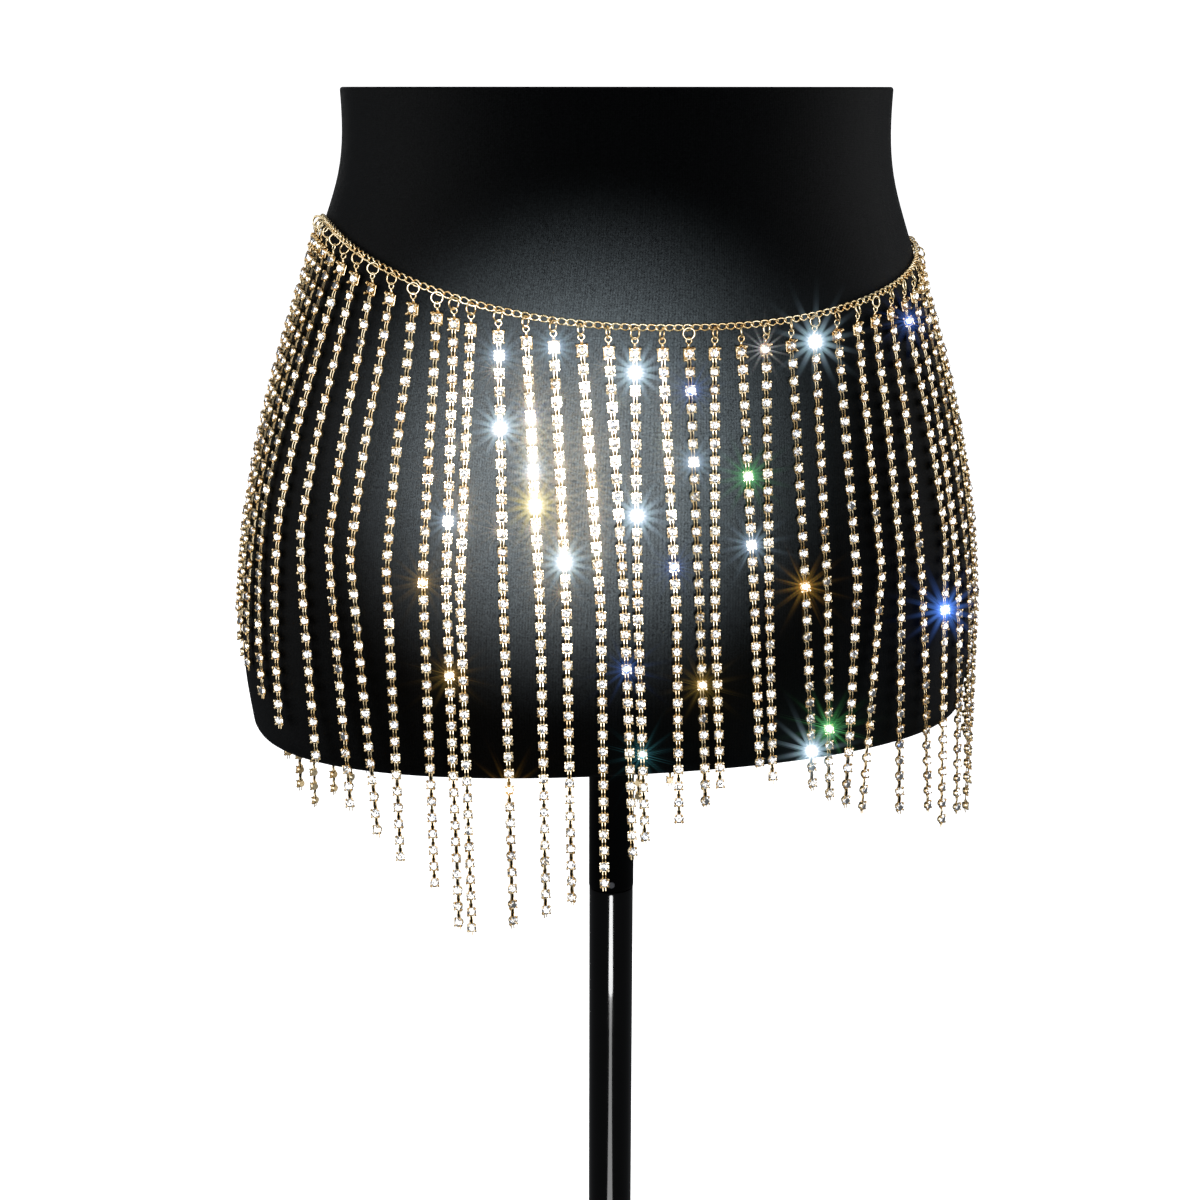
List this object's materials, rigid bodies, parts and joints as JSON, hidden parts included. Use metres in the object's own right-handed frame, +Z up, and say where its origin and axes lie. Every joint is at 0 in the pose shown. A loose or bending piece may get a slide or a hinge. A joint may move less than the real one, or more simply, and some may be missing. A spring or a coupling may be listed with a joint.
{
  "type": "crystal chain skirt on a dress form",
  "caption": "Gold curb waist chain with hanging strands of crystal cup chain in a zigzag hem, worn on a black limbless hip form with pole and round base.",
  "frame": {"origin": "centre of the round base's underside, on the surface the stand rests on", "axes": "+Z up along the pole, -Y to the form's front, +X to the form's right as seen from the front"},
  "size_m": [0.3162, 0.2661, 0.6022],
  "materials": {
    "crystal_cup_chain": "polished gold plate set with clear faceted glass stones",
    "gold_plate": "polished gold plate",
    "crystal": "clear faceted glass with a foiled back",
    "black_jersey": "fine black knit with a soft sheen",
    "satin_black": "satin black paint",
    "screw_steel": "plain steel",
    "gloss_black": "gloss black paint"
  },
  "bodies": {
    "root": {"fringed_waist_chain": "crystal_cup_chain", "extension_chain": "gold_plate", "end_ring": "gold_plate", "lobster_clasp": "gold_plate", "hip_form": "black_jersey", "form_socket": "satin_black", "set_screw": "screw_steel", "pole": "gloss_black", "pole_collar": "gloss_black", "base": "gloss_black"}
  },
  "joints": []
}
